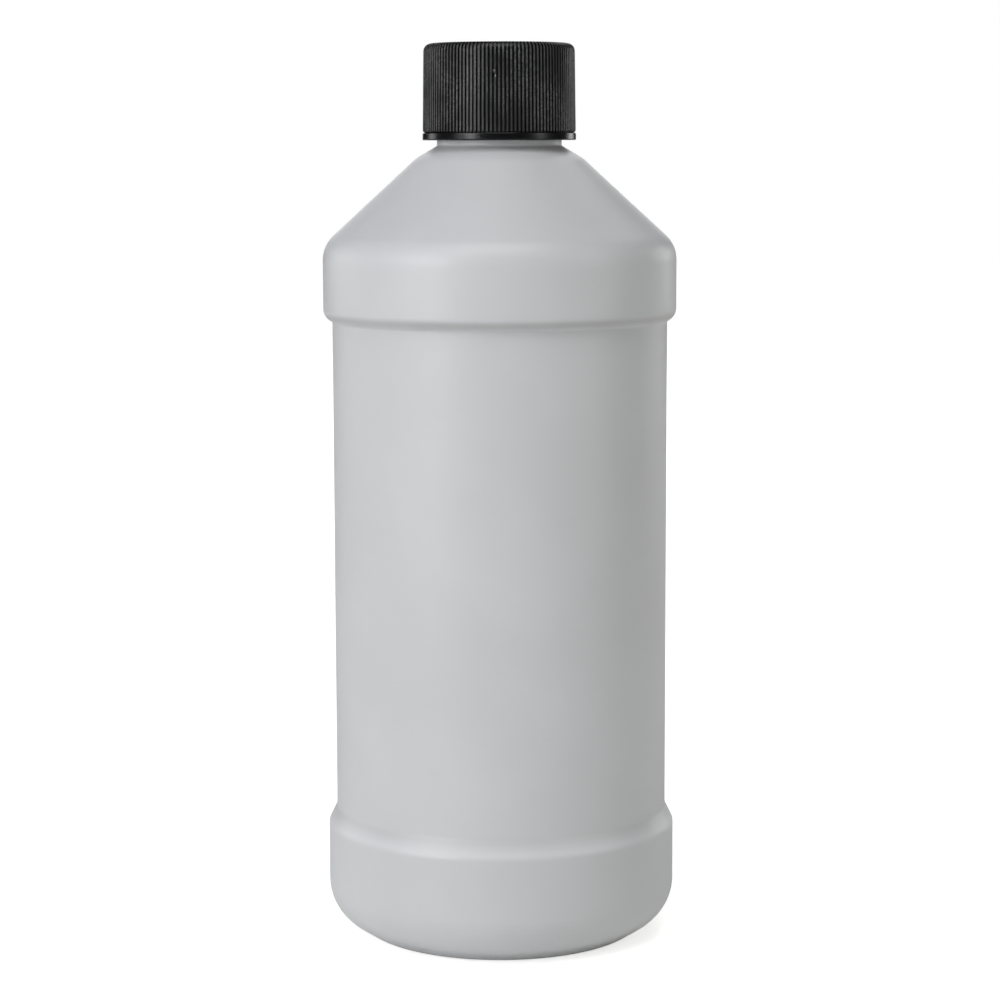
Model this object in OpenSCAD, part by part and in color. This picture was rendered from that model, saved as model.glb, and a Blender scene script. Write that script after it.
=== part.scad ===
// Round blow-moulded plastic bottle with a recessed label panel and a ribbed screw cap.
// Millimetres. The bottle stands on the XY plane and its axis is Z.
// The heights of the bottle are a stack: each size starts where the one before it ends.

/* [Body] */
// Diameter over the shoulder band, the widest part
body_d = 71.2; // [60:0.2:100]
// Depth of the label panel below the shoulder band
panel_recess = 1.8; // [0.8:0.1:3]
// How much smaller the base band's radius is than the shoulder band's
base_inset = 0.15; // [0:0.05:0.6]
// Wall thickness of the blown body
wall = 0.95; // [0.6:0.05:1.4]
// Height of the base band's upper edge above the table
base_band_h = 22.5; // [18:0.5:40]
// Height of the sloping step from the base band up to the panel
base_step_h = 3.4; // [2:0.1:6]
// Height of the label panel
panel_h = 99.1; // [50:0.1:160]
// Height of the step from the panel out to the shoulder band
shoulder_step_h = 1.2; // [0.8:0.1:4]
// Height of the shoulder band
shoulder_band_h = 14; // [10:0.5:30]
// Height of the cone above the shoulder band
cone_h = 17.3; // [12:0.1:30]

/* [Base] */
// How far the heel's lower corner lies inside the base band
heel_inset = 8; // [5:0.1:10]
// Height of the heel's upper corner
heel_h = 5.1; // [3:0.1:8]
// Width of the ring that the bottle stands on
ring_w = 3; // [1.5:0.1:5]
// Height of the push-up at the centre of the base
push_up_h = 3.2; // [1.5:0.1:6]
// Width of the slope between the standing ring and the push-up
push_up_run = 8; // [5:0.1:12]
// Length of the pinch-off seam across the push-up
pinch_l = 22; // [10:0.5:28]
// Width of the pinch-off seam
pinch_w = 1.1; // [0.6:0.1:2]
// How far the pinch-off seam stands out below the push-up
pinch_h = 0.4; // [0.2:0.05:0.8]

/* [Neck] */
// Outside diameter of the neck between its threads
neck_d = 24.9; // [22:0.1:28]
// Wall thickness of the neck
neck_wall = 1.65; // [1.2:0.05:2.2]
// Height of the neck from the shoulder to the mouth
finish_h = 18; // [16:0.1:24]
// How far the rounded top of the shoulder spreads out from the neck
neck_flare = 4.25; // [3:0.05:6]
// Height of the rounded top of the shoulder
neck_rise = 2.5; // [1.5:0.1:4]

/* [Thread] */
// Rise of the thread in one turn
thread_pitch = 4.233; // [3.5:0.001:5]
// Height of the neck's thread above the neck's wall
thread_depth = 1.25; // [0.9:0.05:1.5]
// Width of the neck thread's crest
thread_crest_w = 0.95; // [0.6:0.05:1.1]
// Slope of both threads' flanks, in degrees
thread_flank = 30; // [20:1:35]
// Turns of the neck's thread
thread_turns = 1.5; // [1:0.05:1.8]
// Distance from the mouth down to the middle of the thread's upper end
thread_drop = 2.6; // [2:0.1:4]
// Direction of the thread's lower end, in degrees from +X
thread_start = -60; // [-180:5:180]
// Angle over which each end of a thread fades into its wall, in degrees
thread_fade = 40; // [20:5:60]

/* [Cap] */
// Height of the cap
cap_h = 19.1; // [17:0.1:21]
// Thickness of the cap's side at its rim
cap_wall = 1.4; // [1.2:0.05:2]
// Thickness of the cap's top
cap_top_t = 1.2; // [0.9:0.05:1.8]
// Draft of the cap's side, in degrees
cap_draft = 0.7; // [0:0.1:1.2]
// Rounding of the ribs' upper ends
cap_round = 1.5; // [1:0.05:1.8]
// Height of the plain rim below the ribs
rim_h = 1.5; // [1:0.1:3]
// How far the plain rim stands out past the ribs
rim_proud = 0.05; // [0.02:0.01:0.3]
// Number of ribs round the cap
rib_count = 120; // [60:2:132]
// Height of the ribs
rib_depth = 0.35; // [0.2:0.05:0.5]
// Width of a rib's crest
rib_w = 0.3; // [0.2:0.02:0.32]
// Slope of a rib's sides, in degrees
rib_flank = 4; // [1:0.5:4]
// Turns of the cap's thread
cap_thread_turns = 1.5; // [1:0.05:1.7]
// Height of the lower end of the cap's thread above the rim
cap_thread_rise = 4.3; // [3:0.1:5]
// Width of the cap thread's crest
cap_thread_crest_w = 0.55; // [0.4:0.05:0.7]
// Bevel at the cap's mouth
cap_mouth_bevel = 0.4; // [0.2:0.05:0.6]

/* [Liner] */
// Thickness of the liner, pressed between the mouth and the cap's top
liner_t = 1; // [0.5:0.05:2]

/* [Fits] */
// Radial clearance between the neck thread's crest and the cap's wall
crest_gap = 0.25; // [0.15:0.05:0.4]
// Radial clearance between the cap thread's crest and the neck's wall
root_gap = 0.5; // [0.3:0.05:0.6]
// Clearance between the threads' flanks, along the axis
flank_gap = 0.12; // [0.08:0.01:0.3]
// Radial clearance between the liner and the cap's wall
liner_gap = 0.3; // [0.1:0.05:0.5]

/* [Rounding] */
// Rounding where the push-up meets its slope
push_up_round = 10; // [4:0.5:14]
// Rounding of the standing ring's inner edge
ring_round = 1.2; // [0.5:0.1:2]
// Rounding of the heel's lower corner
heel_round = 2.6; // [1:0.1:4]
// Rounding of the heel's upper corner
base_round = 9.6; // [5:0.1:12]
// Rounding of the base band's upper edge
base_band_round = 2.3; // [1:0.1:4]
// Rounding of the panel's lower corner
panel_low_round = 1.8; // [0.5:0.1:4]
// Rounding of the panel's upper corner
panel_high_round = 1.5; // [0.5:0.1:3]
// Rounding of the shoulder band's lower edge
shoulder_low_round = 2.6; // [1:0.1:4]
// Rounding of the shoulder band's upper corner
shoulder_round = 6.6; // [3:0.1:10]
// Rounding of the cone's upper end
cone_round = 8.1; // [3:0.1:12]
// Rounding where the shoulder meets the neck
neck_round = 0.8; // [0.3:0.1:1.5]
// Rounding of the mouth's edges
lip_round = 0.35; // [0.1:0.05:0.6]
// Rounding of the cap's small corners
cap_small_round = 0.25; // [0.1:0.05:0.4]

/* [Hidden] */

$fn = 144;
// Largest turn of the bottle's roundings between two points, in degrees
bottle_arc_step = 8;
// The same for the cap's small roundings, which every rib cuts
cap_arc_step = 18;
// Steps in one turn of a thread
thread_steps = 48;
// How deep a thread's foot is sunk into its wall
thread_sink = 0.3;
// Height of a thread at its very end, as a share of its full height
thread_end_share = 0.05;
// How far the ribs' flat upper ends lie under the cap's top
rib_run_out = 0.06;
// Smallest rounding inside the blown wall
least_round = 0.3;

bottle_color = [0.75, 0.755, 0.77];
cap_color = [0.12, 0.12, 0.125];
liner_color = [0.93, 0.93, 0.91];

body_r = body_d / 2;
base_r = body_r - base_inset;
panel_r = body_r - panel_recess;
heel_r = base_r - heel_inset;
ring_r = heel_r - ring_w;
push_up_r = ring_r - push_up_run;
neck_r = neck_d / 2;
bore_r = neck_r - neck_wall;
cone_top_r = neck_r + neck_flare;

panel_low_z = base_band_h + base_step_h;
panel_high_z = panel_low_z + panel_h;
shoulder_low_z = panel_high_z + shoulder_step_h;
shoulder_high_z = shoulder_low_z + shoulder_band_h;
cone_top_z = shoulder_high_z + cone_h;
neck_z = cone_top_z + neck_rise;
mouth_z = neck_z + finish_h;
lid_z = mouth_z + liner_t;
cap_top_z = lid_z + cap_top_t;
skirt_z = cap_top_z - cap_h;
rim_top_z = skirt_z + rim_h;

thread_r = neck_r + thread_depth;
thread_low_z = mouth_z - thread_drop - thread_turns * thread_pitch;
cap_bore_r = thread_r + crest_gap;
cap_thread_r = neck_r + root_gap;
rim_r = cap_bore_r + cap_wall;
rib_low_r = rim_r - rim_proud;
rib_high_r = rib_low_r - (cap_top_z - rim_top_z) * tan(cap_draft);
rib_foot_r = rib_high_r - cap_round - rib_depth;
rib_wall_r = (cap_bore_r + rib_high_r - rib_depth) / 2;

// The cap's thread lies under the neck's thread, by half of both widths and the clearance
flank_drop = (thread_crest_w + cap_thread_crest_w) / 2
    + (thread_r - cap_thread_r) * tan(thread_flank) + flank_gap;
cap_thread_low_z = skirt_z + cap_thread_rise;
cap_thread_start = thread_start + 360 * (cap_thread_low_z + flank_drop - thread_low_z) / thread_pitch;

// Outside of the blown wall from the axis to the foot of the neck
// Each corner is its radius, its height and its rounding
shell = [
    [0, push_up_h, 0],
    [push_up_r, push_up_h, push_up_round],
    [ring_r, 0, ring_round],
    [heel_r, 0, heel_round],
    [base_r, heel_h, base_round],
    [base_r, base_band_h, base_band_round],
    [panel_r, panel_low_z, panel_low_round],
    [panel_r, panel_high_z, panel_high_round],
    [body_r, shoulder_low_z, shoulder_low_round],
    [body_r, shoulder_high_z, shoulder_round],
    [cone_top_r, cone_top_z, cone_round],
    [neck_r, neck_z, neck_round]
];

// Helpers for outlines with rounded corners
function spot(corner) = [corner[0], corner[1]];
function rotated(v, a) = [v.x * cos(a) - v.y * sin(a), v.x * sin(a) + v.y * cos(a)];
function leftward(d) = [-d.y, d.x];
function span(cs, i) = norm(spot(cs[i + 1]) - spot(cs[i]));
function heading(cs, i) = (spot(cs[i + 1]) - spot(cs[i])) / span(cs, i);
function turn(cs, i) =
    let (a = heading(cs, i - 1), b = heading(cs, i))
    atan2(cross(a, b), a * b);
function reversed(list) = [for (i = [len(list) - 1:-1:0]) list[i]];

// Length that a rounding takes from each of its two sides
function tangent(cs, i) =
    i == 0 || i == len(cs) - 1 ? 0 : cs[i][2] * tan(abs(turn(cs, i)) / 2);
// Share of its roundings that a side has room for
function room(cs, i) = min(1, 0.98 * span(cs, i) / max(0.001, tangent(cs, i) + tangent(cs, i + 1)));
function fitted_round(cs, i) = cs[i][2] * min(room(cs, i - 1), room(cs, i));

function corner_arc(cs, i, arc_step) =
    let (
        a = turn(cs, i),
        r = fitted_round(cs, i),
        d = heading(cs, i - 1),
        inward = leftward(d) * r * sign(a),
        centre = spot(cs[i]) - d * r * tan(abs(a) / 2) + inward,
        n = max(1, ceil(abs(a) / arc_step))
    )
    r < 0.01 || abs(a) < 0.5 ? [spot(cs[i])] : [for (k = [0:n]) centre - rotated(inward, a * k / n)];
function rounded(cs, arc_step) = [
    spot(cs[0]),
    for (i = [1:len(cs) - 2]) each corner_arc(cs, i, arc_step),
    spot(cs[len(cs) - 1])
];

// The same corners moved to the left by a wall, with roundings that stay concentric
function inset_corner(cs, i, w) =
    let (a = leftward(heading(cs, i - 1)), b = leftward(heading(cs, i)))
    let (p = spot(cs[i]) + (a + b) * w / (1 + a * b))
    [p.x, p.y, max(least_round, cs[i][2] - sign(turn(cs, i)) * w)];
function inset_shell(cs, w) = [
    [0, cs[0][1] + w, 0],
    for (i = [1:len(cs) - 2]) inset_corner(cs, i, w)
];

// Height at which the inside of the shoulder meets the neck's bore
function throat_z(cs, w) =
    let (d = heading(cs, len(cs) - 2), p = spot(cs[len(cs) - 1]) + leftward(d) * w)
    p.y + (bore_r - p.x) * d.y / d.x;

bottle_outline = concat(
    shell,
    [
        [neck_r, mouth_z, lip_round],
        [bore_r, mouth_z, lip_round],
        [bore_r, throat_z(shell, wall), neck_round + wall]
    ],
    reversed(inset_shell(shell, wall))
);

cap_outline = [
    [0, lid_z, 0],
    [cap_bore_r, lid_z, cap_small_round],
    [cap_bore_r, skirt_z + cap_mouth_bevel, 0],
    [cap_bore_r + cap_mouth_bevel, skirt_z, 0],
    [rim_r, skirt_z, cap_small_round],
    [rim_r, rim_top_z, cap_small_round],
    [rib_low_r - rib_depth, rim_top_z + rim_proud, 0],
    [rib_high_r - rib_depth, cap_top_z, cap_round],
    [0, cap_top_z, 0]
];

// Outside surface that the ribs' crests follow, and the ring in the wall and top that joins their feet
rib_envelope = [
    [rib_wall_r, rim_top_z - rim_h / 2, 0],
    [rib_low_r, rim_top_z - rim_h / 2, 0],
    [rib_high_r, cap_top_z - rib_run_out, cap_round],
    [rib_foot_r - cap_top_t / 2, cap_top_z - rib_run_out, 0],
    [rib_foot_r - cap_top_t / 2, lid_z + cap_top_t / 2, 0],
    [rib_wall_r, lid_z + cap_top_t / 2, 0]
];

// Section of a thread: side is 1 on the outside of a wall and -1 on the inside
function thread_section(wall_r, depth, crest_w, side, share) =
    let (
        foot_r = wall_r - side * thread_sink,
        crest_r = wall_r + side * depth * share,
        crest_half = crest_w / 2,
        foot_half = crest_half + (depth * share + thread_sink) * tan(thread_flank),
        foot = [foot_r, foot_half],
        crest = [crest_r, crest_half],
        near = side > 0 ? foot : crest,
        far = side > 0 ? crest : foot
    )
    [[near[0], -near[1]], [far[0], -far[1]], far, near];

// A helical ridge whose ends fade into the wall
module thread(wall_r, depth, crest_w, side, turns, start, low_z) {
    steps = ceil(turns * thread_steps);
    sweep = turns * 360;
    points = [
        for (k = [0:steps])
            let (
                a = sweep * k / steps,
                share = min(1, max(thread_end_share, min(a, sweep - a) / thread_fade))
            )
            for (p = thread_section(wall_r, depth, crest_w, side, share))
                [p.x * cos(start + a), p.x * sin(start + a), p.y + low_z + thread_pitch * a / 360]
    ];
    sides = [
        for (k = [0:steps - 1], j = [0:3])
            let (a = 4 * k + j, b = 4 * k + (j + 1) % 4)
            each [[a, b, b + 4], [a, b + 4, a + 4]]
    ];
    polyhedron(points, concat([[3, 2, 1, 0]], sides, [[for (j = [0:3]) 4 * steps + j]]));
}

module pinch_off() {
    translate([-pinch_l / 2, -pinch_w / 2, push_up_h - pinch_h])
        cube([pinch_l, pinch_w, pinch_h + wall / 2]);
}

module bottle() {
    color(bottle_color) {
        rotate_extrude() polygon(rounded(bottle_outline, bottle_arc_step));
        thread(neck_r, thread_depth, thread_crest_w, 1, thread_turns, thread_start, thread_low_z);
        pinch_off();
    }
}

// Star-shaped section through all the ribs, joined by a ring at their feet
module rib_section() {
    outer_r = rim_r + rib_depth;
    outer_half = rib_w / 2 - (outer_r - rib_low_r) * tan(rib_flank);
    foot_half = min(rib_w / 2 + (rib_low_r - rib_foot_r) * tan(rib_flank), 0.9 * PI * rib_foot_r / rib_count);
    polygon([
        for (i = [0:rib_count - 1], p = [
            [rib_foot_r, -foot_half], [outer_r, -outer_half], [outer_r, outer_half], [rib_foot_r, foot_half]
        ])
            rotated(p, 360 * i / rib_count)
    ]);
}

module ribs() {
    intersection() {
        rotate_extrude() polygon(rounded(rib_envelope, cap_arc_step));
        translate([0, 0, skirt_z]) linear_extrude(cap_h) rib_section();
    }
}

module cap() {
    color(cap_color) {
        rotate_extrude() polygon(rounded(cap_outline, cap_arc_step));
        ribs();
        thread(cap_bore_r, cap_bore_r - cap_thread_r, cap_thread_crest_w, -1, cap_thread_turns,
            cap_thread_start, cap_thread_low_z);
    }
}

module liner() {
    color(liner_color)
        translate([0, 0, mouth_z])
            cylinder(h = liner_t, r = cap_bore_r - liner_gap);
}

bottle();
cap();
liner();
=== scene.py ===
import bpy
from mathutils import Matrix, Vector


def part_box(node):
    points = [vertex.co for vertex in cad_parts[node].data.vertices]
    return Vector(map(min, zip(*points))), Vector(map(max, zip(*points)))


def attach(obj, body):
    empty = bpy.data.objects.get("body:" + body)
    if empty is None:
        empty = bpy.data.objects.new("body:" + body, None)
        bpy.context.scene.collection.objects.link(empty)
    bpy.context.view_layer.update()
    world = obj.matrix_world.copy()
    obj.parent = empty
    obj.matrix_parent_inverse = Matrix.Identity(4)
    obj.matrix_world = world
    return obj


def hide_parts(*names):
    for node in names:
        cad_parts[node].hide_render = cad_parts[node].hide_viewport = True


bl_info = {
    "name": "Round plastic bottle",
    "version": (1, 0, 0),
    "blender": (4, 5, 0),
    "location": "3D View > Sidebar > Bottle",
    "description": "Builds a round blow-moulded bottle with a ribbed screw cap round its packed frame",
    "category": "Add Mesh",
}

import math
from collections import namedtuple

import bmesh
import bpy
from mathutils import Matrix, Vector, noise

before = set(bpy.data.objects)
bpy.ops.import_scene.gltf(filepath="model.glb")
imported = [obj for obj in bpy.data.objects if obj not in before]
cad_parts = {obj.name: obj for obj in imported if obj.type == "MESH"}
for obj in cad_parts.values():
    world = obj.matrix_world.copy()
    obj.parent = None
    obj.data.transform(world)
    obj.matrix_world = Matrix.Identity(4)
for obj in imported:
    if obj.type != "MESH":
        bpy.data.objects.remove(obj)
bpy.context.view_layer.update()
BOTTLE_LOW, BOTTLE_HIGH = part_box("bottle")
CAP_LOW, CAP_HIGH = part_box("cap")
LINER_LOW, LINER_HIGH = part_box("liner")

MM = 0.001
# Points closer than this are one point
WELD = 1e-6
# Edges that bend more than this stay crisp
CRISP_ANGLE = math.radians(42)


# Properties that a user can change

def length(name, text, millimetres):
    return bpy.props.FloatProperty(
        name=name, description=text, default=millimetres * MM, unit="LENGTH", precision=5)


def angle(name, text, degrees):
    return bpy.props.FloatProperty(
        name=name, description=text, default=math.radians(degrees), subtype="ANGLE")


def share(name, text, value):
    return bpy.props.FloatProperty(name=name, description=text, default=value, min=0, subtype="FACTOR")


def amount(name, text, value):
    return bpy.props.FloatProperty(name=name, description=text, default=value)


def count(name, text, value):
    return bpy.props.IntProperty(name=name, description=text, default=value, min=1)


def colour(name, text, value):
    return bpy.props.FloatVectorProperty(
        name=name, description=text, default=value, size=3, min=0, max=1, subtype="COLOR")


class BottleSettings(bpy.types.PropertyGroup):
    """Sizes and colours of the blown bottle"""
    panel_recess: length("Panel recess", "Depth of the label panel below the shoulder band", 1.8)
    base_inset: length("Base inset", "How much smaller the base band's radius is than the shoulder's", 0.15)
    wall: length("Wall", "Thickness of the blown wall", 0.95)
    base_band_height: length("Base band height", "Height of the base band's upper edge", 22.5)
    base_step_height: length("Base step height", "Height of the slope up to the panel", 3.4)
    shoulder_step_height: length("Shoulder step height", "Height of the step above the panel", 1.2)
    shoulder_band_height: length("Shoulder band height", "Height of the shoulder band", 14)
    cone_height: length("Cone height", "Height of the cone above the shoulder band", 17.3)
    heel_inset: length("Heel inset", "How far the heel's lower corner lies inside the base band", 8)
    heel_height: length("Heel height", "Height of the heel's upper corner", 5.1)
    ring_width: length("Ring width", "Width of the ring that the bottle stands on", 3)
    push_up_height: length("Push-up height", "Height of the hollow in the base", 3.2)
    push_up_run: length("Push-up run", "Width of the slope inside the ring", 8)
    pinch_length: length("Pinch-off length", "Length of the seam across the base", 22)
    pinch_width: length("Pinch-off width", "Width of the seam across the base", 1.1)
    pinch_height: length("Pinch-off height", "How far the seam across the base stands out", 0.4)
    parting_height: length("Parting line height", "How far the parting line stands out", 0.03)
    parting_width: length("Parting line width", "Width of the parting line", 0.3)
    neck_diameter: length("Neck diameter", "Outside diameter of the neck between its threads", 24.9)
    neck_wall: length("Neck wall", "Thickness of the neck's wall", 1.65)
    finish_height: length("Finish height", "Height of the neck above the shoulder", 18)
    neck_flare: length("Neck flare", "How far the rounded top of the shoulder spreads", 4.25)
    neck_rise: length("Neck rise", "Height of the rounded top of the shoulder", 2.5)
    push_up_round: length("Push-up rounding", "Rounding where the hollow meets its slope", 10)
    ring_round: length("Ring rounding", "Rounding of the standing ring's inner edge", 1.2)
    heel_round: length("Heel rounding", "Rounding of the heel's lower corner", 2.6)
    base_round: length("Base rounding", "Rounding of the heel's upper corner", 9.6)
    base_band_round: length("Base band rounding", "Rounding of the base band's upper edge", 2.3)
    panel_low_round: length("Lower panel rounding", "Rounding of the panel's lower corner", 1.8)
    panel_high_round: length("Upper panel rounding", "Rounding of the panel's upper corner", 0.4)
    shoulder_low_round: length("Lower shoulder rounding", "Rounding of the shoulder band's lower edge", 2.6)
    shoulder_round: length("Shoulder rounding", "Rounding of the shoulder band's upper corner", 6.6)
    cone_round: length("Cone rounding", "Rounding of the cone's upper end", 8.1)
    neck_round: length("Neck rounding", "Rounding where the shoulder meets the neck", 0.5)
    lip_round: length("Lip rounding", "Rounding of the mouth's edges", 0.35)
    waviness: length("Waviness", "How far the blown wall wanders from a true circle", 0.05)
    wave_length: length("Wave length", "Distance between two waves of the blown wall", 30)
    columns: count("Columns", "Faces round the bottle", 224)
    gather: share("Gather", "How much closer the faces are at the parting line", 0.85)
    tint: colour("Plastic", "Colour of the pale polyethylene", (0.605, 0.612, 0.636))
    tint_deep: colour("Plastic, thicker", "Colour where the wall is thicker", (0.585, 0.590, 0.610))
    ridge_highlight_tint: colour(
        "Painted ridge highlight", "Painted highlight along the base band's upper edge", (0.64, 0.647, 0.67))
    corner_shade_tint: colour(
        "Painted corner shade", "Painted shade at the top of the base slope and under the shoulder band", (0.47, 0.475, 0.485))
    grain_size: length("Grain size", "Size of the mould's blasted grain", 0.22)
    roughness: share("Roughness", "Roughness of the satin surface", 0.4)


class ThreadSettings(bpy.types.PropertyGroup):
    """Sizes of the matching threads of neck and cap"""
    pitch: length("Pitch", "Rise of the thread in one turn", 4.233)
    depth: length("Depth", "Height of the neck's thread", 1.25)
    crest: length("Crest", "Width of the neck thread's crest", 0.95)
    flank: angle("Flank", "Slope of the flanks", 30)
    turns: amount("Turns", "Turns of the neck's thread", 1.5)
    drop: length("Drop", "Distance from the mouth to the middle of the thread's upper end", 2.6)
    start: angle("Start", "Direction of the thread's lower end", -60)
    fade: angle("Fade", "Angle over which an end of the thread fades", 40)
    sink: length("Sink", "How deep the thread's foot is sunk into its wall", 0.3)
    edge_round: length("Edge rounding", "Rounding of the crest's edges", 0.22)
    cap_turns: amount("Cap turns", "Turns of the cap's thread", 1.5)
    cap_rise: length("Cap rise", "Height of the cap thread's lower end above the rim", 4.3)
    cap_crest: length("Cap crest", "Width of the cap thread's crest", 0.55)
    crest_gap: length("Crest gap", "Clearance between the neck's thread and the cap's wall", 0.25)
    root_gap: length("Root gap", "Clearance between the cap's thread and the neck's wall", 0.5)
    flank_gap: length("Flank gap", "Clearance between the flanks, along the axis", 0.12)
    steps: count("Steps", "Faces along one turn", 96)


class CapSettings(bpy.types.PropertyGroup):
    """Sizes and colours of the ribbed screw cap"""
    draft: angle("Draft", "Draft of the cap's side", 0.7)
    round: length("Rounding", "Rounding of the ribs' upper ends", 1.5)
    rim_height: length("Rim height", "Height of the plain rim below the ribs", 1.5)
    rim_proud: length("Rim proud", "How far the plain rim stands out past the ribs", 0.05)
    small_round: length("Small rounding", "Rounding of the small corners", 0.25)
    mouth_bevel: length("Mouth bevel", "Bevel at the cap's mouth", 0.4)
    ribs: count("Ribs", "Number of ribs", 120)
    rib_depth: length("Rib depth", "Height of the ribs", 0.45)
    rib_crest: share("Rib crest", "Half of a crest's width, as a share of the pitch", 0.19)
    rib_flank: share("Rib flank", "Width of a rib's side, as a share of the pitch", 0.11)
    rib_run_out: length("Rib run-out", "How far the ribs' upper ends lie under the cap's top", 0.06)
    rib_foot: length("Rib foot", "Height over which a rib's lower end is rounded off", 0.45)
    rib_columns: count("Rib columns", "Faces across one rib", 10)
    nick_x: length("Nick place", "Where the nick in the ribs is, across the front", -1.06)
    nick_height: length("Nick height", "Height of the nick above the table", 173.6)
    nick_size: length("Nick size", "Half of the nick's height", 0.42)
    nick_width: share("Nick width", "Width of the nick as a share of its height", 0.5)
    nick_depth: length("Nick depth", "How deep the ribs are pressed in at the nick", 0.3)
    pip_rise: length("Pip rise", "How far the pip lies above the nick", 0.95)
    pip_height: length("Pip height", "How far the pip stands out", 0.1)
    tint: colour("Plastic", "Colour of the black polypropylene", (0.004, 0.004, 0.005))
    crest_rub_and_sheen_tint: colour("Rubbed crests and painted sheen", "Colour of the rib crests: rub marks and painted sheen", (0.120, 0.122, 0.126))
    tint_scar: colour("Plastic, scarred", "Colour of the small scars at the nick", (0.42, 0.42, 0.42))
    grain_size: length("Grain size", "Size of the surface's grain", 0.12)
    roughness: share("Roughness", "Roughness of the satin surface", 0.36)
    rim_roughness: share("Rim roughness", "Roughness of the plain rim", 0.22)


class LinerSettings(bpy.types.PropertyGroup):
    """Sizes and colours of the foam liner"""
    edge_round: length("Edge rounding", "Rounding of the disc's edges", 0.12)
    columns: count("Columns", "Faces round the liner", 144)
    tint: colour("Foam", "Colour of the foam", (0.82, 0.82, 0.79))
    tint_cell: colour("Foam cells", "Colour in the foam's cells", (0.70, 0.70, 0.67))
    cell_size: length("Cell size", "Size of the foam's cells", 0.35)
    roughness: share("Roughness", "Roughness of the foam", 0.75)


class StageSettings(bpy.types.PropertyGroup):
    """Camera, light and floor"""
    camera_distance: length("Camera distance", "Distance from the camera to the bottle's axis", 568.8)
    camera_height: length("Camera height", "Height of the camera above the floor", 161.19)
    camera_pitch: angle("Camera pitch", "How far the camera looks down", 7.73)
    camera_roll: angle("Camera roll", "How far the camera leans to its right", 0.15)
    lens: amount("Lens", "Focal length in millimetres for a sensor of 36 mm", 101.4)
    shift_x: amount("Shift across", "Sideways shift of the lens", -0.0003)
    shift_y: amount("Shift up", "Upward shift of the lens", 0.0221)
    floor_size: length("Floor size", "Width of the floor", 6000)
    floor_glow: share("Floor glow", "Share of the floor's white that shadows can't darken", 0.64)
    glow_near: length("Near floor", "Distance up to which the floor shows the object's shadow", 200)
    glow_far: length("Far floor", "Distance from which the floor is plain white", 700)
    floor_light: share("Floor light", "Strength of the light table under the object", 0.02)
    floor_tint: colour("Floor", "Colour of the floor", (0.9, 0.9, 0.88))
    room_light: amount("Room light", "Strength of the room's own light", 0.01)


# Outlines with rounded corners: each corner is its radius, its height and its rounding

def spot(corner):
    return Vector((corner[0], corner[1]))


def heading(corners, i):
    return (spot(corners[i + 1]) - spot(corners[i])).normalized()


def turn(corners, i):
    """Angle by which the outline turns to the left at a corner"""
    before, after = heading(corners, i - 1), heading(corners, i)
    return math.atan2(before.cross(after), before.dot(after))


def leftward(direction):
    return Vector((-direction.y, direction.x))


def turned(vector, by):
    return Vector((vector.x * math.cos(by) - vector.y * math.sin(by),
                   vector.x * math.sin(by) + vector.y * math.cos(by)))


def reach(corners, i):
    """Length that a rounding takes from each of its two sides"""
    if i in (0, len(corners) - 1):
        return 0
    return corners[i][2] * math.tan(abs(turn(corners, i)) / 2)


def room(corners, i):
    """Share of its roundings that a side has room for"""
    side = (spot(corners[i + 1]) - spot(corners[i])).length
    return min(1, 0.98 * side / max(WELD, reach(corners, i) + reach(corners, i + 1)))


def corner_arc(corners, i, arc_step):
    bend = turn(corners, i)
    radius = corners[i][2] * min(room(corners, i - 1), room(corners, i))
    if radius < WELD or abs(bend) < math.radians(0.5):
        return [spot(corners[i])]
    direction = heading(corners, i - 1)
    inward = leftward(direction) * math.copysign(radius, bend)
    centre = spot(corners[i]) - direction * radius * math.tan(abs(bend) / 2) + inward
    steps = max(2, math.ceil(abs(bend) / arc_step))
    return [centre - turned(inward, bend * k / steps) for k in range(steps + 1)]


def rounded(corners, arc_step):
    points = [spot(corners[0])]
    for i in range(1, len(corners) - 1):
        points += corner_arc(corners, i, arc_step)
    return points + [spot(corners[-1])]


def filled(points, spacing, guard):
    """Adds points to long sides, with one close to each end so that shading stays in its corner"""
    result = [points[0]]
    for start, end in zip(points, points[1:]):
        side = (end - start).length
        if side > 4 * guard:
            inner = [guard / side, 1 - guard / side]
            pieces = max(1, math.ceil((side - 2 * guard) / spacing))
            inner = [inner[0] + (inner[1] - inner[0]) * k / pieces for k in range(pieces + 1)]
            result += [start.lerp(end, t) for t in inner]
        result.append(end)
    return result


def outward(points, i):
    """Direction to the right of the outline's travel, which is out of the solid"""
    before = (points[i] - points[max(0, i - 1)]).normalized()
    after = (points[min(len(points) - 1, i + 1)] - points[i]).normalized()
    travel = (before + after).normalized()
    return Vector((travel.y, -travel.x))


def inset(corners, wall, least_round):
    """The same corners moved to the left by a wall, with roundings that stay concentric"""
    moved = [(0, corners[0][1] + wall, 0)]
    for i in range(1, len(corners) - 1):
        a, b = leftward(heading(corners, i - 1)), leftward(heading(corners, i))
        point = spot(corners[i]) + (a + b) * wall / (1 + a.dot(b))
        bend = math.copysign(1, turn(corners, i))
        moved.append((point.x, point.y, max(least_round, corners[i][2] - bend * wall)))
    return moved


def ramp(value, low, high):
    """Smooth step from 0 at low to 1 at high"""
    t = min(1, max(0, (value - low) / (high - low)))
    return t * t * (3 - 2 * t)


# Geometry node trees

def add_node(tree, kind, inputs=None, **settings):
    """A node whose inputs are values, or linked where they are sockets"""
    node = tree.nodes.new(kind)
    for name, value in settings.items():
        setattr(node, name, value)
    for key, value in (inputs or {}).items():
        socket = node.inputs[key]
        if isinstance(value, bpy.types.NodeSocket):
            tree.links.new(value, socket)
        else:
            socket.default_value = value
    return node


def maths(tree, operation, *values):
    return add_node(tree, "ShaderNodeMath", dict(enumerate(values)), operation=operation).outputs[0]


def times(tree, first, second):
    return maths(tree, "MULTIPLY", first, second)


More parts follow.
